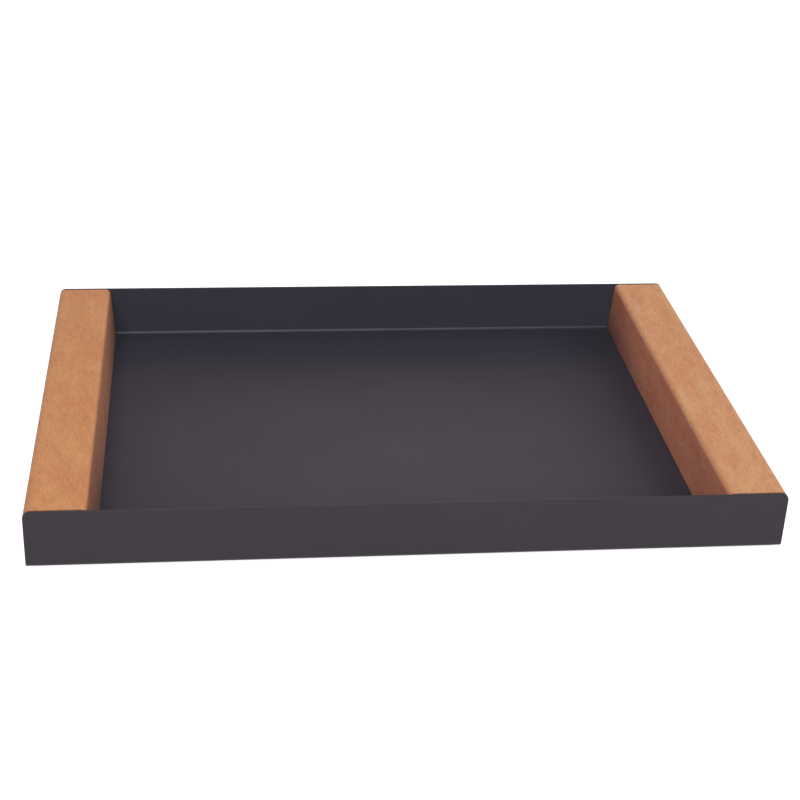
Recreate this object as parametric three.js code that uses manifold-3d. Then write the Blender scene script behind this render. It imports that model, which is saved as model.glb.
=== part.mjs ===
// A serving tray: a sheet folded up along its front and rear, with a solid wooden bar screwed in at
// each open end. Millimetres. X runs along the tray, Y from the front wall to the rear wall, Z up.
// The origin is under the middle of the tray, on the surface that the rubber feet stand on.

import * as THREE from 'three';
import { mergeVertices } from 'three/addons/utils/BufferGeometryUtils.js';
import Module from 'manifold-3d';

const wasm = await Module();
wasm.setup();

// Folded sheet
const trayLength = 450;
const trayDepth = 310;
const wallHeight = 37.5; // from the underside of the base to the top of the walls
const sheetThickness = 1.2;
const bendRadius = 2.2; // inside each fold
const wallCornerRadius = 4.5; // top corners of both walls

// Wooden end bars
const barWidth = 39; // at the foot of the bar
const barLean = 2.8; // how far the inner face draws in towards the top
const outerEdgeRadius = wallCornerRadius; // so that bar and wall corners line up
const innerEdgeRadius = 3.5;
const barEndGap = 0.5; // between each end of a bar and the wall

// Wood screws, driven up through the base into the bars
const screwLength = 20;
const screwDiameter = 3;
const screwHeadDiameter = 5.5;
const screwHeadRim = 0.15; // straight edge of the head under its cone
const screwPointLength = 4;
const screwSink = 0.05; // how far the head lies inside the underside
const screwInset = 50; // from the outside of a wall to the nearest screw
const screwClearance = 0.3;
const recessSpan = 3; // cross recess in the head
const recessWidth = 0.7;
const recessDepth = 1.2;

// Rubber feet
const footHeight = 2;
const footDiameter = 12; // at the sheet
const footTaper = 1; // how much smaller the radius is on the floor
const footInset = 22; // from the outside of a wall to the middle of a foot

// Smoothness
const arcSegments = 8; // in a quarter circle
const roundSegments = 32; // in a full circle
const overcut = 5; // how far a cutting shape reaches past what it cuts
const quarterTurn = Math.PI / 2;

// Sizes worked out from those above
const halfLength = trayLength / 2;
const halfDepth = trayDepth / 2;
const baseTop = footHeight + sheetThickness;
const rimZ = footHeight + wallHeight;
const outerBend = bendRadius + sheetThickness;
const barFaceX = halfLength - barWidth; // inner face of the right bar, at its foot
const barMiddleX = halfLength - barWidth / 2;
const barHalfLength = halfDepth - sheetThickness - barEndGap;
const barRelief = bendRadius + barEndGap; // corner taken off the foot of each end, to clear the fold
const screwZ = footHeight + screwSink;

const screwPlaces = { front: screwInset - halfDepth, middle: 0, rear: halfDepth - screwInset };
const footPlaces = { front: footInset - halfDepth, rear: halfDepth - footInset };
const sides = { left: -1, right: 1 };

// Turns a closed geometry into a solid that can be cut
function toSolid(geometry) {
  const bare = geometry.clone();
  bare.deleteAttribute('normal');
  bare.deleteAttribute('uv');
  const merged = mergeVertices(bare);
  const corners = merged.index.array;
  const kept = [];
  for (let i = 0; i < corners.length; i += 3) {
    const [a, b, c] = corners.slice(i, i + 3);
    if (a !== b && b !== c && c !== a) kept.push(a, b, c);
  }
  const mesh = new wasm.Mesh({
    numProp: 3,
    vertProperties: new Float32Array(merged.attributes.position.array),
    triVerts: new Uint32Array(kept),
  });
  return new wasm.Manifold(mesh);
}

// Turns a cut solid back into a geometry
function toGeometry(solid) {
  const mesh = solid.getMesh();
  const geometry = new THREE.BufferGeometry();
  geometry.setAttribute('position', new THREE.BufferAttribute(mesh.vertProperties, 3));
  geometry.setIndex(new THREE.BufferAttribute(mesh.triVerts, 1));
  geometry.computeVertexNormals();
  return geometry;
}

// A shape carried as far in front of its plane as behind it
function prism(shape, length) {
  const options = { depth: length, bevelEnabled: false, curveSegments: arcSegments };
  return new THREE.ExtrudeGeometry(shape, options).translate(0, 0, -length / 2);
}

// A shape drawn in Y and Z, carried along X
function prismAlongX(shape, length) {
  const along = new THREE.Vector3(1, 0, 0);
  const across = new THREE.Vector3(0, 1, 0);
  const up = new THREE.Vector3(0, 0, 1);
  return prism(shape, length).applyMatrix4(new THREE.Matrix4().makeBasis(across, up, along));
}

// A shape drawn in X and Z, carried along Y
function prismAlongY(shape, length) {
  return prism(shape, length).rotateX(quarterTurn);
}

// A round piece about Z, from pairs of radius and height that start and end on the axis
function turned(profile) {
  const points = profile.map(([radius, height]) => new THREE.Vector2(radius, height));
  return new THREE.LatheGeometry(points, roundSegments).rotateX(quarterTurn);
}

// The folded section, seen from the end of the tray
function foldedSection() {
  const bendY = halfDepth - outerBend;
  const bendZ = footHeight + outerBend;
  const innerY = halfDepth - sheetThickness;
  const section = new THREE.Shape();
  section.moveTo(-halfDepth, rimZ);
  section.absarc(-bendY, bendZ, outerBend, 2 * quarterTurn, 3 * quarterTurn, false);
  section.absarc(bendY, bendZ, outerBend, 3 * quarterTurn, 4 * quarterTurn, false);
  section.lineTo(halfDepth, rimZ);
  section.lineTo(innerY, rimZ);
  section.absarc(bendY, bendZ, bendRadius, 0, -quarterTurn, true);
  section.absarc(-bendY, bendZ, bendRadius, -quarterTurn, -2 * quarterTurn, true);
  section.lineTo(-innerY, rimZ);
  section.closePath();
  return section;
}

// The outline of a wall, seen from the front, with its two round top corners
function wallOutline() {
  const cornerX = halfLength - wallCornerRadius;
  const cornerZ = rimZ - wallCornerRadius;
  const outline = new THREE.Shape();
  outline.moveTo(-halfLength, footHeight - overcut);
  outline.lineTo(halfLength, footHeight - overcut);
  outline.absarc(cornerX, cornerZ, wallCornerRadius, 0, quarterTurn, false);
  outline.absarc(-cornerX, cornerZ, wallCornerRadius, quarterTurn, 2 * quarterTurn, false);
  outline.closePath();
  return outline;
}

// A screw standing on its head, or the room that it needs when grown by a clearance
function screwBody(grown, below) {
  const headRadius = screwHeadDiameter / 2;
  const shankRadius = screwDiameter / 2;
  const coneEnd = screwHeadRim + headRadius - shankRadius;
  return turned([
    [0, -below],
    [headRadius + grown, -below],
    [headRadius + grown, screwHeadRim],
    [shankRadius + grown, coneEnd],
    [shankRadius + grown, screwLength - screwPointLength],
    [grown, screwLength + grown],
    [0, screwLength + grown],
  ]);
}

// Cuts the room for the three screws under the bar at one X out of a solid
function cutScrewHoles(solid, x) {
  let cut = solid;
  for (const y of Object.values(screwPlaces)) {
    const room = screwBody(screwClearance, overcut).translate(x, y, screwZ);
    cut = cut.subtract(toSolid(room));
  }
  return cut;
}

function sheetGeometry() {
  const folded = toSolid(prismAlongX(foldedSection(), trayLength + 2 * overcut));
  const trimmed = folded.intersect(toSolid(prismAlongY(wallOutline(), trayDepth + 2 * overcut)));
  let sheet = trimmed;
  for (const side of Object.values(sides)) sheet = cutScrewHoles(sheet, side * barMiddleX);
  return toGeometry(sheet);
}

// The right bar's section, seen from the front: a leaning inner face and two eased top edges
function barSection() {
  const lean = Math.atan2(barLean, rimZ - baseTop);
  const inward = 2 * quarterTurn - lean; // the way the inner face looks
  const topFaceX = barFaceX + barLean;
  const innerCentreX = topFaceX + innerEdgeRadius * Math.tan((quarterTurn - lean) / 2);
  const outerCentreX = halfLength - outerEdgeRadius;
  const section = new THREE.Shape();
  section.moveTo(barFaceX, baseTop);
  section.lineTo(halfLength, baseTop);
  section.absarc(outerCentreX, rimZ - outerEdgeRadius, outerEdgeRadius, 0, quarterTurn, false);
  section.absarc(innerCentreX, rimZ - innerEdgeRadius, innerEdgeRadius, quarterTurn, inward, false);
  section.closePath();
  return section;
}

// The bar's outline, seen from the end of the tray, with its foot relieved over both folds
function barOutline() {
  const outline = new THREE.Shape();
  outline.moveTo(barRelief - barHalfLength, baseTop);
  outline.lineTo(barHalfLength - barRelief, baseTop);
  outline.lineTo(barHalfLength, baseTop + barRelief);
  outline.lineTo(barHalfLength, rimZ + overcut);
  outline.lineTo(-barHalfLength, rimZ + overcut);
  outline.lineTo(-barHalfLength, baseTop + barRelief);
  outline.closePath();
  return outline;
}

function barGeometry() {
  const long = toSolid(prismAlongY(barSection(), trayDepth));
  const bar = long.intersect(toSolid(prismAlongX(barOutline(), trayLength + 2 * overcut)));
  return toGeometry(cutScrewHoles(bar, barMiddleX));
}

function screwGeometry() {
  const slot = new THREE.BoxGeometry(recessSpan, recessWidth, 2 * recessDepth);
  const crossSlot = slot.clone().rotateZ(quarterTurn);
  const recess = toSolid(slot).add(toSolid(crossSlot));
  return toGeometry(toSolid(screwBody(0, 0)).subtract(recess));
}

function footGeometry() {
  const radius = footDiameter / 2;
  return turned([[0, 0], [radius - footTaper, 0], [radius, footHeight], [0, footHeight]]);
}

// Finishes, each made afresh because every piece has its own
const finishes = {
  powderCoat: { color: 0x47434a, roughness: 0.55, metalness: 0 },
  beech: { color: 0xc68a60, roughness: 0.6, metalness: 0 },
  screwSteel: { color: 0xa7a9ac, roughness: 0.35, metalness: 1 },
  rubber: { color: 0x1d1d1f, roughness: 0.85, metalness: 0 },
};

const tray = new THREE.Group();

function addPiece(name, geometry, finish, x = 0, y = 0, z = 0) {
  const piece = new THREE.Mesh(geometry, new THREE.MeshStandardMaterial(finishes[finish]));
  piece.name = name;
  piece.position.set(x, y, z);
  tray.add(piece);
  return piece;
}

addPiece('tray_sheet', sheetGeometry(), 'powderCoat');
const bar = barGeometry();
const screw = screwGeometry();
const foot = footGeometry();
for (const [side, sign] of Object.entries(sides)) {
  const barPiece = addPiece(`${side}_end_bar`, bar, 'beech');
  barPiece.rotation.z = sign > 0 ? 0 : 2 * quarterTurn; // the left bar is the right one turned round
  for (const [place, y] of Object.entries(screwPlaces)) {
    addPiece(`${side}_bar_screw_${place}`, screw, 'screwSteel', sign * barMiddleX, y, screwZ);
  }
  for (const [place, y] of Object.entries(footPlaces)) {
    addPiece(`foot_${place}_${side}`, foot, 'rubber', sign * barMiddleX, y, 0);
  }
}

export default tray;
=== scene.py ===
# %% [markdown]
# # A serving tray: one folded sheet and two beech bars
#
# The real tray starts as a flat steel sheet. It is cut out, folded up along its front and rear, and
# powder coated. A beech bar closes each open end and is the grip. Six wood screws hold the bars from
# below, and four rubber feet lift the sheet off the table.
#
# The CAD model of these pieces is loaded first, as a fixed frame that nothing here moves. Each piece is
# then made again with the detail that a camera sees, in metres, in the place where the CAD model has it.

# %% Load the CAD frame
import math

import bmesh
import bpy
from mathutils import Matrix, Vector


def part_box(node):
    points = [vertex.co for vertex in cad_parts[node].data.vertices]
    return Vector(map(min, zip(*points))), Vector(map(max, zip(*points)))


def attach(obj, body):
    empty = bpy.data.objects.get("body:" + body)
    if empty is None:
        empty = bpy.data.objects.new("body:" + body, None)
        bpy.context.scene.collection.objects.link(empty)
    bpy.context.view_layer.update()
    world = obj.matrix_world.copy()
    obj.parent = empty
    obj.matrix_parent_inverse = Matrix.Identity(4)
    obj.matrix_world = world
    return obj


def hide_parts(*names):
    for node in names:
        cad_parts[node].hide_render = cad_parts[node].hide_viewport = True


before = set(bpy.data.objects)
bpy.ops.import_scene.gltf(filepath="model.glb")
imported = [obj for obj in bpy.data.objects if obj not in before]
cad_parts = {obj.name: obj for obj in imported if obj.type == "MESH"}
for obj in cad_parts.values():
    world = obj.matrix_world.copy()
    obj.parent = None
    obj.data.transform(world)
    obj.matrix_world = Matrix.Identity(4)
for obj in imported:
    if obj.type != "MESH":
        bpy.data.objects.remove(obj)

mm = 0.001
quarter_turn = math.pi / 2
scene = bpy.context.scene
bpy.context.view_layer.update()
print("the frame holds", len(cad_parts), "CAD nodes")


# %% [markdown]
# ## Small helpers
#
# A mesh can be drawn by hand, with operators or in code. Code is used here, because every point then
# follows from a size that has a name. Node trees are built in code too. Both kinds of tree, for shapes
# and for finishes, are wired up in the same way, so one helper adds a node and fills in its sockets.

# %% Helpers for objects and meshes
def new_object(name, data):
    made = bpy.data.objects.new(name, data)
    scene.collection.objects.link(made)
    return made


def new_mesh(name, points, faces):
    mesh = bpy.data.meshes.new(name)
    mesh.from_pydata(points, [], faces)
    shape = bmesh.new()
    shape.from_mesh(mesh)
    bmesh.ops.recalc_face_normals(shape, faces=shape.faces)
    shape.to_mesh(mesh)
    shape.free()
    return mesh


def freeze(piece):
    """Turns what the modifiers make of a piece into its plain mesh, and removes them."""
    depsgraph = bpy.context.evaluated_depsgraph_get()
    plain = bpy.data.meshes.new_from_object(piece.evaluated_get(depsgraph), depsgraph=depsgraph)
    plain.name = piece.name
    piece.modifiers.clear()
    piece.data = plain
    print(piece.name, "has", len(plain.vertices), "points and", len(plain.polygons), "faces")


# %% Helpers for node trees
def fill_sockets(tree, node, values):
    """Links each of a node's sockets to another socket, or sets it to a plain value."""
    for socket, value in values.items():
        if isinstance(value, bpy.types.NodeSocket):
            tree.links.new(value, node.inputs[socket])
        else:
            node.inputs[socket].default_value = value


def add_node(tree, kind, values=None, **settings):
    node = tree.nodes.new(kind)
    for setting, value in settings.items():
        setattr(node, setting, value)
    fill_sockets(tree, node, values or {})
    return node


def calc(tree, operation, first, second=0.0):
    return add_node(tree, "ShaderNodeMath", {0: first, 1: second}, operation=operation).outputs[0]


def product(tree, *factors):
    result = factors[0]
    for factor in factors[1:]:
        result = calc(tree, "MULTIPLY", result, factor)
    return result


def split_vector(tree, vector):
    """The X, Y and Z of a vector."""
    return add_node(tree, "ShaderNodeSeparateXYZ", {0: vector}).outputs


# %% [markdown]
# ## Finishes
#
# Each finish is a node material that reads Object coordinates, so a pattern has one real size on every
# piece and stays in place when the piece is moved. Textures could be photographs, but noise in several
# sizes needs no file and has no seams. The scale of a noise is one over the size of its features.

# %% Helpers for coordinates
def object_coordinates(tree):
    return add_node(tree, "ShaderNodeTexCoord").outputs["Object"]


def facing(tree):
    """Which way the surface looks, in the piece's own directions."""
    return add_node(tree, "ShaderNodeTexCoord").outputs["Normal"]


def turned_coordinates(tree, degrees, stretch, shift=(0, 0, 0)):
    """Coordinates in which a pattern lies turned about Z, and is drawn out along its own Y."""
    values = {
        "Vector": object_coordinates(tree),
        "Location": shift,
        "Rotation": (0, 0, math.radians(degrees)),
        "Scale": (1, stretch, 1),
    }
    return add_node(tree, "ShaderNodeMapping", values, vector_type="TEXTURE").outputs[0]


# %% Helpers for patterns and colours
usual_low = 0.3
usual_high = 0.7


def new_finish(name):
    finish = bpy.data.materials.new(name)
    finish.use_nodes = True
    tree = finish.node_tree
    tree.nodes.clear()
    shader = add_node(tree, "ShaderNodeBsdfPrincipled")
    add_node(tree, "ShaderNodeOutputMaterial", {"Surface": shader.outputs["BSDF"]})
    return finish, tree, shader


def noise(tree, where, feature, detail=2.0, roughness=0.5):
    values = {"Vector": where, "Scale": 1 / feature, "Detail": detail, "Roughness": roughness}
    return add_node(tree, "ShaderNodeTexNoise", values).outputs[0]


def remap(tree, value, low, high, new_low, new_high):
    values = {"Value": value, "From Min": low, "From Max": high, "To Min": new_low, "To Max": new_high}
    return add_node(tree, "ShaderNodeMapRange", values).outputs[0]


def fade(tree, value, start, end):
    """Goes from 0 where the value is at the start to 1 where it is at the end."""
    return remap(tree, value, start, end, 0.0, 1.0)


def spread(tree, pattern, low, high):
    """Takes the range that most of a noise lies in to the range from low to high."""
    return remap(tree, pattern, usual_low, usual_high, low, high)


def mix_colour(tree, factor, first, second, mode="MIX"):
    values = {0: factor, 6: first, 7: second}
    return add_node(tree, "ShaderNodeMix", values, data_type="RGBA", blend_type=mode).outputs[2]


def tint(tree, factor, colour, tone):
    """Multiplies a colour by a tone, as far as the factor says."""
    return mix_colour(tree, factor, colour, tone, mode="MULTIPLY")


def add_bump(tree, shader, height, depth):
    bump = add_node(tree, "ShaderNodeBump", {"Height": height, "Distance": depth, "Strength": 1.0})
    fill_sockets(tree, shader, {"Normal": bump.outputs[0]})


# %% [markdown]
# ### Powder coat
#
# Powder coat is baked-on plastic powder. Close up it has a fine orange peel with finer grains on top, and
# it is satin, so it blurs what it mirrors. Use leaves faint hairlines, which show most where the coat is
# cloudy. One noise of the right size makes each of these.

# %% Powder coat: texture and wear
peel_size = 1.1 * mm
peel_depth = 0.02 * mm
grain_size = 0.35 * mm
grain_share = 0.35
speck_size = 0.7 * mm
cloud_size = 60 * mm
hairline_width = 0.6 * mm
hairline_stretch = 50
hairline_turn = -17


def coat_patterns(tree):
    where = object_coordinates(tree)
    cloud = noise(tree, where, cloud_size, detail=4.0, roughness=0.6)
    drawn_out = turned_coordinates(tree, hairline_turn, hairline_stretch)
    hairlines = noise(tree, drawn_out, hairline_width, detail=1.0)
    scuffs = fade(tree, hairlines, 0.66, 0.74)
    return {
        "peel": noise(tree, where, peel_size),
        "grain": noise(tree, where, grain_size, detail=1.0),
        "speck": noise(tree, where, speck_size, detail=3.0, roughness=0.7),
        "cloud": cloud,
        "worn": product(tree, scuffs, remap(tree, cloud, 0.5, 0.65, 0.0, 0.6)),
    }


print("the peel is", round(peel_size / mm, 2), "mm wide and the grains", round(grain_size / mm, 2), "mm")


# %% [markdown]
# The coat does not look the same all over the sheet. A painted warm reflection tints the base, except along
# the rear wall, where the base is painted cooler and darker as painted shade. The walls are painted a touch
# warmer outside than inside, as painted light. Separate materials could be put on separate faces, but they
# would meet at hard lines, so the zones are worked out from where a point is and from the way it looks, and
# they fade into each other.

# %% Powder coat: zones of the sheet
sheet_low, sheet_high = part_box("tray_sheet")
sheet_thickness = 1.2 * mm
# Between these two distances the base changes from painted shade by the rear wall to painted warm
# reflection.
warm_reflection_start = 118 * mm
warm_reflection_full = 82 * mm


def coat_zones(tree):
    y = split_vector(tree, object_coordinates(tree))["Y"]
    looks = split_vector(tree, facing(tree))
    wall = calc(tree, "ABSOLUTE", looks["Y"])
    inside_y = sheet_high.y - 0.75 * sheet_thickness
    outside_y = sheet_high.y - 0.25 * sheet_thickness
    return {
        "base": calc(tree, "MAXIMUM", looks["Z"], 0.0),
        "wall": wall,
        "fold": fade(tree, product(tree, wall, looks["Z"]), 0.1, 0.4),
        "warm_reflection": fade(tree, y, warm_reflection_start, warm_reflection_full),
        "outside": fade(tree, calc(tree, "ABSOLUTE", y), inside_y, outside_y),
    }


print("sheet size in mm:", [round(side / mm, 2) for side in sheet_high - sheet_low])


# %% [markdown]
# The colour is nearly black with a touch of violet, and paler where specks and scuffs have rubbed it.

# %% Powder coat: colour
def coat_colour(tree, patterns, zones):
    dark = (0.0350, 0.0342, 0.0443, 1)
    pale = (0.0368, 0.0360, 0.0462, 1)
    rubbed = (0.045, 0.042, 0.054, 1)
    # Painted shade: cooler and darker by the rear wall. Painted reflection: warm over the rest of the base.
    rear_painted_shade = (0.90, 0.92, 0.965, 1)
    painted_warm_reflection = (1.0, 0.905, 0.92, 1)
    # Painted light: the walls are cooler inside and warmer outside.
    inside_painted_light = (1.0, 1.03, 1.07, 1)
    outside_painted_light = (0.99, 0.95, 0.93, 1)
    colour = mix_colour(tree, spread(tree, patterns["cloud"], 0.0, 1.0), dark, pale)
    colour = mix_colour(tree, remap(tree, patterns["speck"], 0.62, 0.8, 0.0, 0.4), colour, rubbed)
    colour = mix_colour(tree, patterns["worn"], colour, rubbed)
    base_painted_light = mix_colour(tree, zones["warm_reflection"], rear_painted_shade, painted_warm_reflection)
    wall_painted_light = mix_colour(tree, zones["outside"], inside_painted_light, outside_painted_light)
    colour = tint(tree, zones["base"], colour, base_painted_light)
    return tint(tree, zones["wall"], colour, wall_painted_light)


# %% [markdown]
# The sheen is painted reflection. Its warm tint stands in for warm surroundings, and along the folds it is
# painted stronger and neutral, as a painted highlight. On the base it is painted strongest in an oval, most
# of all towards the front, and weakest in the strips along the bars. One sheen for all would be simpler,
# but the base would then look evenly lit.

# %% Powder coat: sheen
sheen_oval_middle = -79.2 * mm
sheen_oval_half_width = 220 * mm
sheen_oval_half_depth = 240 * mm
most_painted_sheen = 0.187
least_painted_sheen = 0.09
strip_middle = -12 * mm
strip_start = 130 * mm
strip_full = 200 * mm
strip_share = 0.55
wall_sheen = 0.16
fold_painted_highlight = 0.05


def painted_base_sheen(tree):
    """The painted sheen of the base: most in an oval towards the front, least in the strips at both ends.
    """
    where = object_coordinates(tree)
    oval = add_node(tree, "ShaderNodeMapping", {
        "Vector": where,
        "Location": (0, -sheen_oval_middle / sheen_oval_half_depth, 0),
        "Scale": (1 / sheen_oval_half_width, 1 / sheen_oval_half_depth, 0),
    })
    away = add_node(tree, "ShaderNodeVectorMath", {0: oval.outputs[0]}, operation="LENGTH")
    painted_sheen = remap(tree, away.outputs["Value"], 0.2, 0.85, most_painted_sheen, least_painted_sheen)
    x = split_vector(tree, where)["X"]
    from_middle = calc(tree, "ABSOLUTE", calc(tree, "SUBTRACT", x, strip_middle))
    return product(tree, painted_sheen, remap(tree, from_middle, strip_start, strip_full, 1.0, strip_share))


def coat_sheen(tree, zones):
    # The walls get an even sheen; the base gets the painted sheen, and the folds a painted highlight.
    above_walls = calc(tree, "SUBTRACT", painted_base_sheen(tree), wall_sheen)
    sheen = calc(tree, "ADD", product(tree, zones["base"], above_walls), wall_sheen)
    return calc(tree, "ADD", sheen, product(tree, zones["fold"], fold_painted_highlight))


print("the base's sheen falls from", most_painted_sheen, "to", round(least_painted_sheen * strip_share, 3))


# %% Powder coat: the whole finish
def coat_roughness(tree, patterns):
    satin = spread(tree, patterns["cloud"], 0.42, 0.38)
    satin = calc(tree, "ADD", satin, spread(tree, patterns["grain"], -0.03, 0.03))
    return calc(tree, "SUBTRACT", satin, product(tree, patterns["worn"], 0.1))


def make_powder_coat():
    finish, tree, shader = new_finish("powder_coat_satin")
    patterns = coat_patterns(tree)
    zones = coat_zones(tree)
    # Painted reflection: a warm tint for warm surroundings, and a neutral one for the painted fold
    # highlight.
    warm_reflection_tint = (1.0, 0.48, 0.46, 1)
    fold_highlight_tint = (0.95, 0.92, 1.0, 1)
    fill_sockets(tree, shader, {
        "Base Color": coat_colour(tree, patterns, zones),
        "Roughness": coat_roughness(tree, patterns),
        "Specular IOR Level": coat_sheen(tree, zones),
        "Specular Tint": mix_colour(tree, zones["fold"], warm_reflection_tint, fold_highlight_tint),
    })
    height = calc(tree, "ADD", patterns["peel"], product(tree, patterns["grain"], grain_share))
    add_bump(tree, shader, height, peel_depth)
    return finish


powder_coat = make_powder_coat()
print("made", powder_coat.name, "with", len(powder_coat.node_tree.nodes), "nodes")


# %% [markdown]
# ### Beech
#
# Steamed beech is tan with pinker patches. Its mark is the fleck: short brown dashes, a few millimetres
# long, that lie along the grain. The pattern here is a solid one, as in a real block, stretched along the
# grain, so the faces, the eased edges and the end grain all fit together. The grain of the two bars runs
# differently, so each bar has a finish of its own with its grain turned.

# %% Beech: grain
mottle_size = 11 * mm
mottle_stretch = 3
ripple_size = 1.5 * mm
fleck_size = 1.1 * mm
short_stretch = 4
fibre_size = 0.25 * mm
fibre_stretch = 20
fibre_depth = 0.03 * mm


def beech_patterns(tree, look):
    turn = look["grain_turn"]
    shift = look["shift"]
    broad = turned_coordinates(tree, turn, mottle_stretch, shift)
    short = turned_coordinates(tree, turn, short_stretch, shift)
    fibrous = turned_coordinates(tree, turn, fibre_stretch, shift)
    dashes = add_node(tree, "ShaderNodeTexVoronoi", {"Vector": short, "Scale": 1 / fleck_size})
    return {
        "mottle": noise(tree, broad, mottle_size, detail=3.0, roughness=0.6),
        "ripple": noise(tree, short, ripple_size, detail=3.0, roughness=0.6),
        "fibre": noise(tree, fibrous, fibre_size, detail=1.0),
        "fleck": fade(tree, dashes.outputs[0], 0.30, 0.14),
    }


print("flecks are about", round(short_stretch * fleck_size / mm, 1), "mm apart along the grain")

# %% Beech: colour
bar_low, bar_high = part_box("right_end_bar")


def beech_colour(tree, look, patterns):
    """Tan and pink patches with the lights and darks of the finer grain, and painted shade towards the
    front.
    """
    y = split_vector(tree, object_coordinates(tree))["Y"]
    shade = product(
        tree,
        spread(tree, patterns["ripple"], 0.88, 1.12),
        spread(tree, patterns["mottle"], 1.03, 0.97),
        spread(tree, patterns["fibre"], 0.95, 1.05),
        remap(tree, patterns["fleck"], 0.0, 1.0, 1.0, 0.80),
        # Painted shade: the bar gets darker towards its front end.
        remap(tree, y, bar_low.y, bar_high.y, look["front_end_painted_shade"], 1.0),
    )
    grey = add_node(tree, "ShaderNodeCombineColor", {0: shade, 1: shade, 2: shade}).outputs[0]
    patchy = mix_colour(tree, fade(tree, patterns["mottle"], 0.35, 0.65), look["tan"], look["pink"])
    return tint(tree, 1.0, patchy, grey)


print("bar size in mm:", [round(side / mm, 2) for side in bar_high - bar_low])


# %% [markdown]
# The inner faces show another cut of the wood, with a tone of their own, and painted light sets how bright
# each inner face is. Painted shade darkens them at the foot and towards the corners. The very ends are
# dark:
# end grain soaks up the most oil, and painted shade stands in for the narrow gap against the walls. All
# this is painted by place, over the grain.

# %% Beech: inner faces and ends
inner_foot_z = 4 * mm
inner_top_z = 38 * mm
foot_fade = (-60 * mm, 60 * mm)
rear_corner = (50 * mm, 140 * mm)
front_corner = (-20 * mm, -110 * mm)
end_fade = (0.7 * mm, 0.4 * mm)


def shade_inner_face(tree, look, colour):
    # Painted shade at the foot and in the corners of each inner face, and painted light in its tone.
    painted_corner_shade = (0.42, 0.41, 0.48, 1)
    x, y, z = split_vector(tree, object_coordinates(tree))
    looks = split_vector(tree, facing(tree))
    steep = fade(tree, calc(tree, "ABSOLUTE", looks["Z"]), 0.8, 0.3)
    outward = product(tree, looks["X"], calc(tree, "SIGN", x))
    inner = product(tree, steep, fade(tree, outward, -0.3, -0.6))
    low = fade(tree, z, look["foot_reach"], inner_foot_z)
    low = product(tree, low, remap(tree, y, *foot_fade, look["front_corner_painted_shade"], 1.0))
    front = remap(tree, y, *front_corner, 0.0, look["front_corner_painted_shade"])
    corner = calc(tree, "ADD", fade(tree, y, *rear_corner), front)
    corner = product(tree, corner, remap(tree, z, inner_top_z, inner_foot_z, 0.40, 1.0))
    colour = tint(tree, inner, colour, look["inner_cut_and_painted_light"])
    colour = tint(tree, product(tree, inner, low), colour, look["foot_painted_shade"])
    return tint(tree, product(tree, inner, corner), colour, painted_corner_shade)


def soak_and_shade_ends(tree, colour):
    # End grain soaks up oil, and painted shade stands in for the narrow gap against the walls.
    soaked_and_shaded = (0.42, 0.38, 0.38, 1)
    y = split_vector(tree, object_coordinates(tree))["Y"]
    from_end = calc(tree, "SUBTRACT", bar_high.y, calc(tree, "ABSOLUTE", y))
    return tint(tree, fade(tree, from_end, *end_fade), colour, soaked_and_shaded)


# %% Beech: the finish of each bar
def make_beech(name, look):
    finish, tree, shader = new_finish(name)
    patterns = beech_patterns(tree, look)
    colour = beech_colour(tree, look, patterns)
    colour = shade_inner_face(tree, look, colour)
    oil = spread(tree, patterns["mottle"], 0.48, 0.58)
    fill_sockets(tree, shader, {
        "Base Color": soak_and_shade_ends(tree, colour),
        "Roughness": calc(tree, "ADD", oil, product(tree, patterns["fleck"], 0.08)),
        "Specular IOR Level": 0.3,
    })
    height = calc(tree, "ADD", patterns["fibre"], product(tree, patterns["fleck"], -0.5))
    add_bump(tree, shader, height, fibre_depth)
    return finish


left_beech = make_beech("beech_left", {
    "grain_turn": 14,
    "shift": (0.03, 0.11, 0.0),
    "tan": (0.540, 0.246, 0.097, 1),
    "pink": (0.526, 0.209, 0.087, 1),
    "front_end_painted_shade": 0.985,
    "inner_cut_and_painted_light": (0.98, 0.96, 1.30, 1),
    "foot_painted_shade": (0.60, 0.66, 0.80, 1),
    "foot_reach": 34 * mm,
    "front_corner_painted_shade": 1.0,
})
right_beech = make_beech("beech_right", {
    "grain_turn": -6,
    "shift": (0.17, 0.05, 0.0),
    "tan": (0.560, 0.280, 0.125, 1),
    "pink": (0.542, 0.230, 0.108, 1),
    "front_end_painted_shade": 0.93,
    "inner_cut_and_painted_light": (1.32, 1.07, 1.40, 1),
    "foot_painted_shade": (0.65, 0.72, 0.85, 1),
    "foot_reach": 22 * mm,
    "front_corner_painted_shade": 0.25,
})
print("made", left_beech.name, "and", right_beech.name)


# %% [markdown]
# ### Zinc and rubber
#
# The screws are zinc plated: a metal with a faint milky bloom, and turning marks round the head. The marks
# follow each screw's own axis, so they read a radius that is stored on the mesh. The feet are matt rubber
# with a fine moulded grain and a little dust.

# %% Zinc
bloom_size = 1.5 * mm
turning_mark = 0.16 * mm
turning_depth = 0.004 * mm


def make_zinc():
    finish, tree, shader = new_finish("zinc_plate")
    bright = (0.56, 0.57, 0.58, 1)
    milky = (0.44, 0.45, 0.48, 1)
    bloom = noise(tree, object_coordinates(tree), bloom_size, detail=3.0, roughness=0.6)
    radius = add_node(tree, "ShaderNodeAttribute", attribute_name="turning_radius").outputs["Fac"]
    marks = calc(tree, "SINE", product(tree, radius, 2 * math.pi / turning_mark))
    fill_sockets(tree, shader, {
        "Base Color": mix_colour(tree, fade(tree, bloom, 0.35, 0.65), bright, milky),
        "Roughness": spread(tree, bloom, 0.26, 0.42),
        "Metallic": 1.0,
    })
    add_bump(tree, shader, marks, turning_depth)
    return finish


zinc = make_zinc()
print("made", zinc.name)

# %% Rubber
rubber_grain_size = 0.3 * mm
rubber_grain_depth = 0.02 * mm
dust_size = 3 * mm


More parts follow.
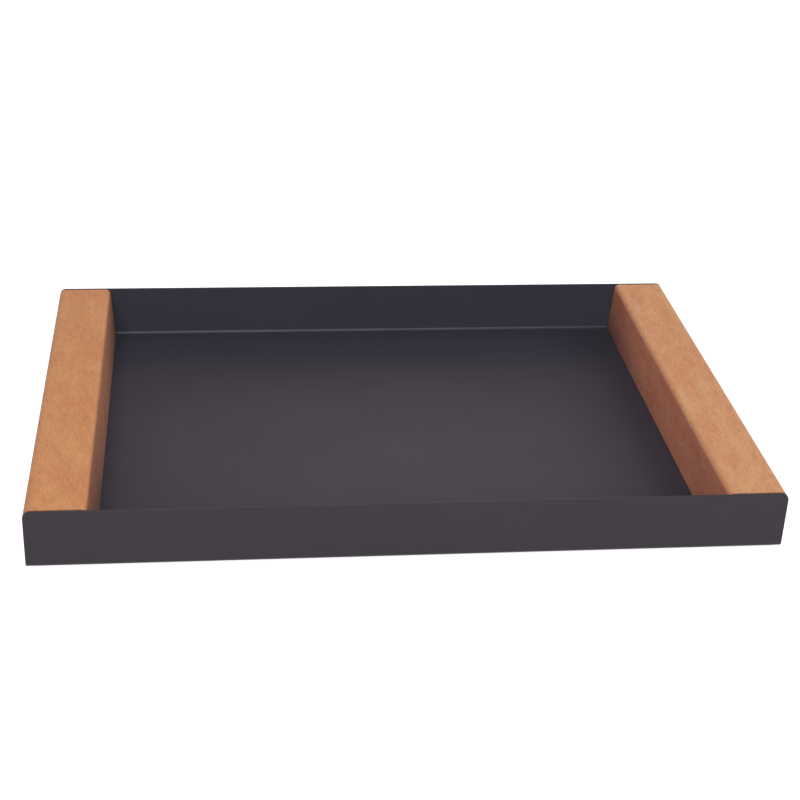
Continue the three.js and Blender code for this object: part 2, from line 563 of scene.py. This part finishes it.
def make_rubber():
    finish, tree, shader = new_finish("rubber_matt")
    clean = (0.016, 0.016, 0.018, 1)
    dusty = (0.040, 0.039, 0.038, 1)
    where = object_coordinates(tree)
    grain = noise(tree, where, rubber_grain_size)
    dust = noise(tree, where, dust_size, detail=4.0, roughness=0.65)
    fill_sockets(tree, shader, {
        "Base Color": mix_colour(tree, fade(tree, dust, 0.45, 0.75), clean, dusty),
        "Roughness": spread(tree, dust, 0.72, 0.9),
        "Specular IOR Level": 0.3,
    })
    add_bump(tree, shader, grain, rubber_grain_depth)
    return finish


rubber = make_rubber()
print("made", rubber.name)


# %% [markdown]
# ## Turned shapes
#
# Screws, feet and drilled holes are all round. A Screw modifier could spin a profile, but the thread needs
# a radius that also depends on the angle. So a small function walks up the profile ring by ring, and
# closes the two ends on the axis.

# %% Turned shapes
def turned_mesh(name, profile, steps, thread=None):
    """A round closed mesh about Z from (radius, height) pairs that start and end on the axis."""
    points = [(0, 0, profile[0][1])]
    faces = []
    for radius, height in profile[1:-1]:
        for step in range(steps):
            angle = 2 * math.pi * step / steps
            reach = radius + (thread(angle, height) if thread else 0)
            points.append((reach * math.cos(angle), reach * math.sin(angle), height))
    points.append((0, 0, profile[-1][1]))
    last = len(points) - 1
    for step in range(steps):
        after = (step + 1) % steps
        faces.append((0, 1 + after, 1 + step))
        for start in range(1, last - steps, steps):
            faces.append((start + step, start + after, start + steps + after, start + steps + step))
        faces.append((last - steps + step, last - steps + after, last))
    return new_mesh(name, points, faces)


# %% Room for a screw
screw_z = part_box("right_bar_screw_middle")[0].z
screw_length = 20 * mm
screw_point = 4 * mm
head_radius = 2.75 * mm
head_rim = 0.15 * mm
shank_radius = 1.5 * mm
cone_end = head_rim + head_radius - shank_radius
drill_clearance = 0.3 * mm
drill_depth_below = 5 * mm
drill_steps = 32


def drill_mesh():
    """The room that one screw needs, from below the sheet up into the bar."""
    wide = head_radius + drill_clearance
    narrow = shank_radius + drill_clearance
    top = screw_length + drill_clearance
    profile = [
        (0, -drill_depth_below),
        (wide, -drill_depth_below),
        (wide, head_rim),
        (narrow, cone_end),
        (narrow, screw_length - screw_point),
        (drill_clearance, top),
        (0, top),
    ]
    return turned_mesh("drill", profile, drill_steps)


print("screws reach from", round(screw_z / mm, 2), "to", round((screw_z + screw_length) / mm, 2), "mm")


# %% [markdown]
# ## Copies on a grid
#
# The six screws stand on a grid of two by three points and the four feet on one of two by two. Copies
# could be placed by hand, but a Geometry Nodes tree keeps the rule: a grid with named sizes, one copy on
# each point, and a random turn with a fixed seed, since no two screws are ever driven to the same angle.

# %% Helpers for Geometry Nodes trees
def new_shape_tree(name, inputs):
    tree = bpy.data.node_groups.new(name, "GeometryNodeTree")
    for label, kind in inputs.items():
        tree.interface.new_socket(label, in_out="INPUT", socket_type="NodeSocket" + kind)
    tree.interface.new_socket("Geometry", in_out="OUTPUT", socket_type="NodeSocketGeometry")
    return tree, add_node(tree, "NodeGroupInput").outputs


def end_shape_tree(tree, geometry, material):
    real = add_node(tree, "GeometryNodeRealizeInstances", {"Geometry": geometry}).outputs[0]
    painted = add_node(tree, "GeometryNodeSetMaterial", {"Geometry": real, "Material": material})
    add_node(tree, "NodeGroupOutput", {0: painted.outputs[0]})


def use_tree(piece, tree, values):
    modifier = piece.modifiers.new(tree.name, "NODES")
    modifier.node_group = tree
    for item in tree.interface.items_tree:
        if item.in_out == "INPUT" and item.name in values:
            modifier[item.identifier] = values[item.name]


# %% Geometry Nodes tree for copies on a grid
def make_copies_tree():
    inputs = {
        "Span X": "Float",
        "Span Y": "Float",
        "Count X": "Int",
        "Count Y": "Int",
        "Height": "Float",
        "Pattern": "Object",
        "Largest Turn": "Vector",
        "Seed": "Int",
        "Finish": "Material",
    }
    tree, given = new_shape_tree("copies_on_a_grid", inputs)
    grid = add_node(tree, "GeometryNodeMeshGrid", {
        "Size X": given["Span X"],
        "Size Y": given["Span Y"],
        "Vertices X": given["Count X"],
        "Vertices Y": given["Count Y"],
    })
    lift = add_node(tree, "ShaderNodeCombineXYZ", {"Z": given["Height"]}).outputs[0]
    raised = add_node(tree, "GeometryNodeSetPosition", {"Geometry": grid.outputs[0], "Offset": lift})
    pattern = add_node(tree, "GeometryNodeObjectInfo", {"Object": given["Pattern"]})
    turn = add_node(tree, "FunctionNodeRandomValue", {
        "Min": (0, 0, 0),
        "Max": given["Largest Turn"],
        "Seed": given["Seed"],
    }, data_type="FLOAT_VECTOR")
    copies = add_node(tree, "GeometryNodeInstanceOnPoints", {
        "Points": raised.outputs[0],
        "Instance": pattern.outputs["Geometry"],
        "Rotation": turn.outputs[0],
    })
    end_shape_tree(tree, copies.outputs[0], given["Finish"])
    return tree


copies_tree = make_copies_tree()
print("tree", copies_tree.name, "has", len(copies_tree.nodes), "nodes")


# %% [markdown]
# ### Holes for the screws
#
# The holes in the sheet have to line up with those in the bars. They could be drawn into each mesh, but one
# set of drills does for all: the drill is one mesh, copied to the six places by the same tree, and a
# Boolean modifier takes all six away from the sheet and from both bars.

# %% Drills
front_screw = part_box("right_bar_screw_front")
rear_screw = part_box("right_bar_screw_rear")
screw_grid = {
    "Span X": front_screw[0].x + front_screw[1].x,
    "Span Y": (rear_screw[0].y + rear_screw[1].y - front_screw[0].y - front_screw[1].y) / 2,
    "Count X": 2,
    "Count Y": 3,
    "Height": screw_z,
}

one_drill = new_object("one_drill", drill_mesh())
drills = new_object("drills", bpy.data.meshes.new("drills"))
use_tree(drills, copies_tree, screw_grid | {"Pattern": one_drill})
freeze(drills)


def drill_holes(piece):
    cut = piece.modifiers.new("screw_holes", "BOOLEAN")
    cut.operation = "DIFFERENCE"
    cut.solver = "EXACT"
    cut.object = drills


# %% [markdown]
# ### Soft edges
#
# No made edge is perfectly sharp, so a Bevel modifier breaks the sheet's rim and the bars' ends. Smooth
# shading would then bend the light on the flat faces too, so the normals are weighted by the area of the
# faces.

# %% Helpers for soft edges
bevel_steps = 3
large_face_weight = 100


def break_edges(piece, name, width, least_angle):
    bevel = piece.modifiers.new(name, "BEVEL")
    bevel.width = width
    bevel.segments = bevel_steps
    bevel.limit_method = "ANGLE"
    bevel.angle_limit = math.radians(least_angle)


def soften_normals(piece):
    """Flat faces keep their own shading right up to the rounded edges beside them."""
    for face in piece.data.polygons:
        face.use_smooth = True
    weigh = piece.modifiers.new("weighted_normals", "WEIGHTED_NORMAL")
    weigh.weight = large_face_weight
    weigh.keep_sharp = True


# %% [markdown]
# ## The folded sheet
#
# On the real tray the sheet is cut flat with its corners rounded, drilled, and then folded. The bends and
# walls could be modelled as they end up, but then the rounded corners and the soft rim are awkward. So the
# flat blank comes first, with rows of points where it will bend.

# %% Sizes of the flat blank
bend_radius = 2.2 * mm
corner_radius = 4.5 * mm
bend_rows = 14
corner_steps = 12
fold_line = sheet_high.y - sheet_thickness - bend_radius
bend_length = (bend_radius + sheet_thickness / 2) * quarter_turn
wall_length = sheet_high.z - sheet_low.z - sheet_thickness - bend_radius
blank_end = fold_line + bend_length + wall_length
print("blank measures", round(2 * sheet_high.x / mm, 1), "by", round(2 * blank_end / mm, 1), "mm")

# %% Cut the flat blank
def wall_rim(side):
    """Points along the end of the blank, round its two corners."""
    rim = []
    for step in range(corner_steps + 1):
        angle = quarter_turn * step / corner_steps
        x = sheet_high.x - corner_radius * (1 - math.cos(angle))
        y = blank_end - corner_radius * (1 - math.sin(angle))
        rim.append((x, side * y, 0))
    return rim + [(-x, y, 0) for x, y, z in reversed(rim)]


def blank_mesh():
    shape = bmesh.new()
    half = sheet_high.x
    rows = [fold_line + bend_length * row / bend_rows for row in range(bend_rows + 1)]
    ends = {}
    for side in (-1, 1):
        ends[side] = [[shape.verts.new((x, side * row, 0)) for x in (-half, half)] for row in rows]
        for near, far in zip(ends[side], ends[side][1:]):
            shape.faces.new((near[0], near[1], far[1], far[0]))
        shape.faces.new(ends[side][-1] + [shape.verts.new(point) for point in wall_rim(side)])
    shape.faces.new(ends[-1][0] + ends[1][0][::-1])
    shape.normal_update()
    for face in shape.faces:
        if face.normal.z < 0:
            face.normal_flip()
    mesh = bpy.data.meshes.new("flat_blank")
    shape.to_mesh(mesh)
    shape.free()
    return mesh


folded_sheet = new_object("folded_sheet", blank_mesh())
print("blank has", len(folded_sheet.data.polygons), "faces")


# %% [markdown]
# The fold is a rule for every point, so it is a Geometry Nodes tree. A point before the fold line stays.
# Past it, the point swings round the bend's axis by the distance it has gone along the middle of the
# sheet, and what is left of that distance runs up the wall. Points on the outer skin swing on a larger
# radius than those inside, as in a real bend.

# %% Geometry Nodes tree for the fold
def make_fold_tree():
    inputs = {
        "Geometry": "Geometry",
        "Fold Line": "Float",
        "Inside Radius": "Float",
        "Thickness": "Float",
        "Height": "Float",
        "Finish": "Material",
    }
    tree, given = new_shape_tree("fold_up_both_walls", inputs)
    x, y, z = split_vector(tree, add_node(tree, "GeometryNodeInputPosition").outputs[0])
    pivot = calc(tree, "ADD", given["Inside Radius"], given["Thickness"])
    middle = calc(tree, "SUBTRACT", pivot, product(tree, given["Thickness"], 0.5))
    past = calc(tree, "SUBTRACT", calc(tree, "ABSOLUTE", y), given["Fold Line"])
    swing = calc(tree, "MINIMUM", calc(tree, "DIVIDE", past, middle), quarter_turn)
    swing = calc(tree, "MAXIMUM", swing, 0.0)
    left_over = calc(tree, "SUBTRACT", past, product(tree, swing, middle))
    radius = calc(tree, "SUBTRACT", pivot, z)

    out = calc(tree, "ADD", given["Fold Line"], calc(tree, "MINIMUM", left_over, 0.0))
    out = calc(tree, "ADD", out, product(tree, radius, calc(tree, "SINE", swing)))
    out = product(tree, out, calc(tree, "SIGN", y))
    up = calc(tree, "ADD", pivot, calc(tree, "MAXIMUM", left_over, 0.0))
    up = calc(tree, "SUBTRACT", up, product(tree, radius, calc(tree, "COSINE", swing)))
    up = calc(tree, "ADD", up, given["Height"])
    folded = add_node(tree, "ShaderNodeCombineXYZ", {"X": x, "Y": out, "Z": up}).outputs[0]
    places = {"Geometry": given["Geometry"], "Position": folded}
    moved = add_node(tree, "GeometryNodeSetPosition", places)
    end_shape_tree(tree, moved.outputs[0], given["Finish"])
    return tree


fold_tree = make_fold_tree()
print("tree", fold_tree.name, "has", len(fold_tree.nodes), "nodes")


# %% [markdown]
# A Solidify modifier gives the blank its thickness, and a fine bevel follows, where the coat rounds the
# cut edge. Then the walls are folded up and the holes are drilled.

# %% Thicken, fold and drill the sheet
rim_bevel = 0.15 * mm
rim_angle = 40

solid = folded_sheet.modifiers.new("sheet_thickness", "SOLIDIFY")
solid.thickness = sheet_thickness
solid.offset = 1.0
break_edges(folded_sheet, "coated_rim", rim_bevel, rim_angle)
use_tree(folded_sheet, fold_tree, {
    "Fold Line": fold_line,
    "Inside Radius": bend_radius,
    "Thickness": sheet_thickness,
    "Height": sheet_low.z,
    "Finish": powder_coat,
})
drill_holes(folded_sheet)
soften_normals(folded_sheet)
freeze(folded_sheet)
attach(folded_sheet, "root")
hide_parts("tray_sheet")


# %% [markdown]
# ## The beech bars
#
# Each bar is planed stock with an inner face that leans back a little towards the top. Both long top edges
# are rounded, the outer one like the corners of the walls, so that bar and walls line up. A scaled cube
# with a bevel would have one radius everywhere, so the section is drawn point by point and carried along
# the bar. Both ends are relieved at the foot, where the sheet's bend is in the way.

# %% Section of a bar
bar_lean = 2.8 * mm
outer_radius = corner_radius
inner_radius = 3.5 * mm
edge_steps = 9
lean_angle = math.atan2(bar_lean, bar_high.z - bar_low.z)


def rounded_edge(middle_x, radius, start, sweep):
    """Points round a top edge as (x, z), from one angle on through a sweep."""
    edge = []
    for step in range(edge_steps + 1):
        angle = start + sweep * step / edge_steps
        height = bar_high.z - radius * (1 - math.sin(angle))
        edge.append((middle_x + radius * math.cos(angle), height))
    return edge


def bar_section(foot):
    """Points of the right bar's section as (x, z), seen from the front, down to a given foot height."""
    inner_sweep = quarter_turn - lean_angle
    inner_foot = bar_low.x + (foot - bar_low.z) * math.tan(lean_angle)
    outer_middle = bar_high.x - outer_radius
    inner_middle = bar_low.x + bar_lean + inner_radius * math.tan(inner_sweep / 2)
    section = [(inner_foot, foot), (bar_high.x, foot)]
    section += rounded_edge(outer_middle, outer_radius, 0, quarter_turn)
    section += rounded_edge(inner_middle, inner_radius, quarter_turn, inner_sweep)
    return section


print("bar leans", round(math.degrees(lean_angle), 2), "degrees")

# %% Shape of a bar
foot_relief = 2.7 * mm


def bar_mesh(name, side):
    """A bar for the right end, or the same bar turned half round for the left end."""
    low_foot = bar_section(bar_low.z)
    high_foot = bar_section(bar_low.z + foot_relief)
    stations = [
        (bar_low.y, high_foot),
        (bar_low.y + foot_relief, low_foot),
        (bar_high.y - foot_relief, low_foot),
        (bar_high.y, high_foot),
    ]
    points = [(side * x, side * y, z) for y, section in stations for x, z in section]
    count = len(low_foot)
    faces = [tuple(range(count)), tuple(range(3 * count, 4 * count))]
    for start in range(0, 3 * count, count):
        for corner in range(count):
            after = (corner + 1) % count
            faces.append((start + corner, start + after, start + count + after, start + count + corner))
    return new_mesh(name, points, faces)


# %% Make both bars
end_bevel = 0.15 * mm
end_angle = 35


def make_bar(name, side, finish, node):
    bar = new_object(name, bar_mesh(name, side))
    bar.data.materials.append(finish)
    break_edges(bar, "eased_ends", end_bevel, end_angle)
    drill_holes(bar)
    soften_normals(bar)
    freeze(bar)
    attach(bar, "root")
    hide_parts(node)


make_bar("left_beech_bar", -1, left_beech, "left_end_bar")
make_bar("right_beech_bar", 1, right_beech, "right_end_bar")
bpy.data.objects.remove(drills)
bpy.data.objects.remove(one_drill)


# %% [markdown]
# ## The wood screws
#
# A wood screw has a flat head with a cross recess, a plain shank under it, and a thread that winds down to
# the point. The thread is not a separate coil here. The radius of each ring rises and falls with the
# angle, so head, shank and thread are one closed skin.

# %% Shape of a screw
thread_pitch = 1.25 * mm
thread_start = 7 * mm
thread_depth = 0.45 * mm
ridge_half_width = 0.3
ring_step = thread_pitch / 10
head_edge = 0.1 * mm


def point_taper(height):
    return min(1.0, (screw_length - height) / screw_point)


def thread_ridge(angle, height):
    if height < thread_start:
        return 0
    turn = (height / thread_pitch - angle / (2 * math.pi)) % 1
    ridge = max(0.0, 1 - abs(turn - 0.5) / ridge_half_width)
    rise = min(1.0, (height - thread_start) / thread_pitch)
    return thread_depth * rise * point_taper(height) * ridge


def screw_profile():
    profile = [(0, 0), (head_radius - head_edge, 0), (head_radius, head_edge), (head_radius, head_rim)]
    profile += [(shank_radius, cone_end), (shank_radius, thread_start - thread_pitch)]
    core = shank_radius - thread_depth
    rings = round((screw_length - thread_start) / ring_step)
    for ring in range(rings):
        height = thread_start + ring * ring_step
        profile.append((core * point_taper(height), height))
    return profile + [(0, screw_length)]


print("thread has", round((screw_length - thread_start) / thread_pitch, 1), "turns")


# %% [markdown]
# The cross recess narrows as it goes into the head. It could be pushed into the head's faces, but a
# Boolean cuts it cleanly whatever faces the head has. The radius of every point is then stored, for the
# turning marks in the zinc.

# %% One screw
recess_reach = 1.5 * mm
recess_half_width = 0.35 * mm
recess_depth = 1.2 * mm
recess_taper = 0.55
screw_steps = 28


def recess_mesh():
    arm = recess_reach
    slot = recess_half_width
    cross = [(arm, -slot), (arm, slot), (slot, slot), (slot, arm), (-slot, arm), (-slot, slot)]
    cross += [(-x, -y) for x, y in cross]
    points = []
    for height, scale in ((-recess_depth, 2 - recess_taper), (recess_depth, recess_taper)):
        points += [(x * scale, y * scale, height) for x, y in cross]
    count = len(cross)
    faces = [tuple(range(count)), tuple(range(count, 2 * count))]
    for corner in range(count):
        after = (corner + 1) % count
        faces.append((corner, after, count + after, count + corner))
    return new_mesh("recess", points, faces)


def make_one_screw():
    mesh = turned_mesh("one_screw", screw_profile(), screw_steps, thread_ridge)
    screw = new_object("one_screw", mesh)
    recess = new_object("recess", recess_mesh())
    cut = screw.modifiers.new("recess", "BOOLEAN")
    cut.solver = "EXACT"
    cut.object = recess
    freeze(screw)
    bpy.data.objects.remove(recess)
    radius = screw.data.attributes.new("turning_radius", "FLOAT", "POINT")
    for point, vertex in zip(radius.data, screw.data.vertices):
        point.value = vertex.co.xy.length
    return screw


one_screw = make_one_screw()

# %% All six screws
crease_angle = math.radians(40)
screw_rows = ("front", "middle", "rear")
screw_nodes = [f"{end}_bar_screw_{row}" for end in ("left", "right") for row in screw_rows]

wood_screws = new_object("wood_screws", bpy.data.meshes.new("wood_screws"))
use_tree(wood_screws, copies_tree, screw_grid | {
    "Pattern": one_screw,
    "Largest Turn": (0, 0, quarter_turn),
    "Seed": 4,
    "Finish": zinc,
})
freeze(wood_screws)
bpy.data.objects.remove(one_screw)
wood_screws.data.set_sharp_from_angle(angle=crease_angle)
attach(wood_screws, "root")
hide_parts(*screw_nodes)


# %% [markdown]
# ## The rubber feet
#
# Each foot is a small moulded disc, stuck under a corner. It narrows towards the table, its lower edge is
# rounded, and a shallow ring in its face helps it to grip. It is turned like the screws, and the same tree
# puts one under each corner.

# %% Shape of a foot
foot_low, foot_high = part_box("foot_front_right")
foot_height = foot_high.z - foot_low.z
foot_radius = (foot_high.x - foot_low.x) / 2
foot_taper = 1 * mm
foot_round = 0.5 * mm
groove_radius = 2.6 * mm
groove_half_width = 0.5 * mm
groove_depth = 0.3 * mm
round_steps = 6
foot_steps = 40


def foot_profile():
    profile = [(0, 0)]
    for side, height in ((-1, 0), (-0.5, groove_depth), (0.5, groove_depth), (1, 0)):
        profile.append((groove_radius + side * groove_half_width, height))
    for step in range(round_steps + 1):
        angle = quarter_turn * step / round_steps
        radius = foot_radius - foot_taper - foot_round * (1 - math.sin(angle))
        profile.append((radius, foot_round * (1 - math.cos(angle))))
    return profile + [(foot_radius, foot_height), (0, foot_height)]


one_foot = new_object("one_foot", turned_mesh("one_foot", foot_profile(), foot_steps))
print("a foot is", round(2 * foot_radius / mm, 1), "mm wide and", round(foot_height / mm, 1), "mm high")

# %% All four feet
rear_foot_low, rear_foot_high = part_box("foot_rear_right")

rubber_feet = new_object("rubber_feet", bpy.data.meshes.new("rubber_feet"))
use_tree(rubber_feet, copies_tree, {
    "Span X": foot_low.x + foot_high.x,
    "Span Y": rear_foot_low.y + rear_foot_high.y,
    "Count X": 2,
    "Count Y": 2,
    "Height": foot_low.z,
    "Pattern": one_foot,
    "Seed": 1,
    "Finish": rubber,
})
freeze(rubber_feet)
bpy.data.objects.remove(one_foot)
rubber_feet.data.set_sharp_from_angle(angle=crease_angle)
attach(rubber_feet, "root")
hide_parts("foot_front_left", "foot_front_right", "foot_rear_left", "foot_rear_right")


# %% [markdown]
# ## Floor
#
# The floor looks white to the camera and in reflections, while the light that it sheds on the tray stays
# at a plain level. A brighter lamp would also make it white, but it would wash out the tray. So the floor
# glows where nothing stands on it, and most of all far away, where the lamps hardly reach it. Under the
# tray it does not glow, and it keeps the tray's shadow.

# %% Floor finish
floor_colour = (0.7, 0.7, 0.7, 1)
floor_mirrored = 0.65
glow_inset = 5.6 * mm
glow_edge = 0.5 * mm
near_glow = 0.75
far_start = 0.7
far_full = 1.6


def glow_level(tree):
    """How much the floor glows: not under the tray, partly around it, and fully far away."""
    where = object_coordinates(tree)
    place = split_vector(tree, where)
    beside = calc(tree, "SUBTRACT", calc(tree, "ABSOLUTE", place["X"]), sheet_high.x - glow_inset)
    before = calc(tree, "SUBTRACT", calc(tree, "ABSOLUTE", place["Y"]), sheet_high.y - glow_inset)
    outside = fade(tree, calc(tree, "MAXIMUM", beside, before), 0.0, glow_edge)
    away = add_node(tree, "ShaderNodeVectorMath", {0: where}, operation="LENGTH").outputs["Value"]
    return product(tree, outside, remap(tree, away, far_start, far_full, near_glow, 1.0))


def make_floor_finish():
    finish = bpy.data.materials.new("floor_white")
    finish.use_nodes = True
    tree = finish.node_tree
    tree.nodes.clear()
    rays = add_node(tree, "ShaderNodeLightPath").outputs
    mirrored = product(tree, rays["Is Glossy Ray"], floor_mirrored)
    seen = calc(tree, "MAXIMUM", rays["Is Camera Ray"], mirrored)
    seen = calc(tree, "MAXIMUM", seen, rays["Is Transmission Ray"])
    matt = add_node(tree, "ShaderNodeBsdfDiffuse", {"Color": floor_colour})
    glow = add_node(tree, "ShaderNodeEmission", {"Strength": product(tree, seen, glow_level(tree))})
    both = add_node(tree, "ShaderNodeAddShader", {0: matt.outputs[0], 1: glow.outputs[0]})
    add_node(tree, "ShaderNodeOutputMaterial", {"Surface": both.outputs[0]})
    return finish


# %% Floor
floor_half = 4.0
signs = ((-1, -1), (1, -1), (1, 1), (-1, 1))
corners = [(x * floor_half, y * floor_half, 0) for x, y in signs]
floor = new_object("studio_floor", new_mesh("studio_floor", corners, [(0, 1, 2, 3)]))
floor.data.materials.append(make_floor_finish())
print("floor is", 2 * floor_half, "m wide")


# %% [markdown]
# ## Light
#
# The tray stands in plain studio light: a large soft lamp high up on the camera's side, a weaker one on
# the right, and an even room all round. The room, too, is white to the camera and in reflections only.

# %% Room and lamps
room_light = 0.2
lamp_size = 1.3
key_place = Vector((-0.2, -1.85, 1.5))
key_power = 58
side_place = Vector((1.9, 0.4, 1.5))
side_power = 19.5


def make_room():
    room = bpy.data.worlds.new("white_room")
    room.use_nodes = True
    tree = room.node_tree
    tree.nodes.clear()
    rays = add_node(tree, "ShaderNodeLightPath").outputs
    seen = calc(tree, "MAXIMUM", rays["Is Camera Ray"], rays["Is Glossy Ray"])
    seen = calc(tree, "MAXIMUM", seen, rays["Is Transmission Ray"])
    strength = remap(tree, seen, 0.0, 1.0, room_light, 1.0)
    white = add_node(tree, "ShaderNodeBackground", {"Color": (1, 1, 1, 1), "Strength": strength})
    add_node(tree, "ShaderNodeOutputWorld", {"Surface": white.outputs[0]})
    return room


def soft_lamp(name, place, power):
    lamp = new_object(name, bpy.data.lights.new(name, "AREA"))
    lamp.data.size = lamp_size
    lamp.data.energy = power
    lamp.location = place
    lamp.rotation_euler = (-place).to_track_quat("-Z", "Y").to_euler()
    print(name, "is", round(place.length, 2), "m from the tray")


scene.world = make_room()
soft_lamp("key_lamp", key_place, key_power)
soft_lamp("side_lamp", side_place, side_power)
scene.view_settings.view_transform = "Standard"


# %% [markdown]
# ## Camera
#
# The camera's place, its tilt and its lens were found by fitting the tray's edges to the photograph. It
# looks down at about 28 degrees from the front left, and it is rolled by 2.5 degrees. Its three directions
# are worked out from these angles, because Euler angles in one fixed order would hide what each one does.

# %% Camera
camera_place = Vector((-0.1186, -0.9690, 0.5407))
camera_down = math.radians(27.815)
camera_turn = math.radians(7.466)
camera_roll = math.radians(2.504)
camera_lens = 74.42
camera_sensor = 36

forward = Vector((
    math.cos(camera_down) * math.sin(camera_turn),
    math.cos(camera_down) * math.cos(camera_turn),
    -math.sin(camera_down),
))
level_right = Vector((math.cos(camera_turn), -math.sin(camera_turn), 0))
level_up = level_right.cross(forward)
right = level_right * math.cos(camera_roll) + level_up * math.sin(camera_roll)
up = right.cross(forward)
directions = Matrix((right, up, -forward)).transposed().to_4x4()

camera = new_object("camera", bpy.data.cameras.new("camera"))
camera.data.lens = camera_lens
camera.data.sensor_width = camera_sensor
camera.matrix_world = Matrix.Translation(camera_place) @ directions
scene.camera = camera
print("camera lens is", camera_lens, "mm")
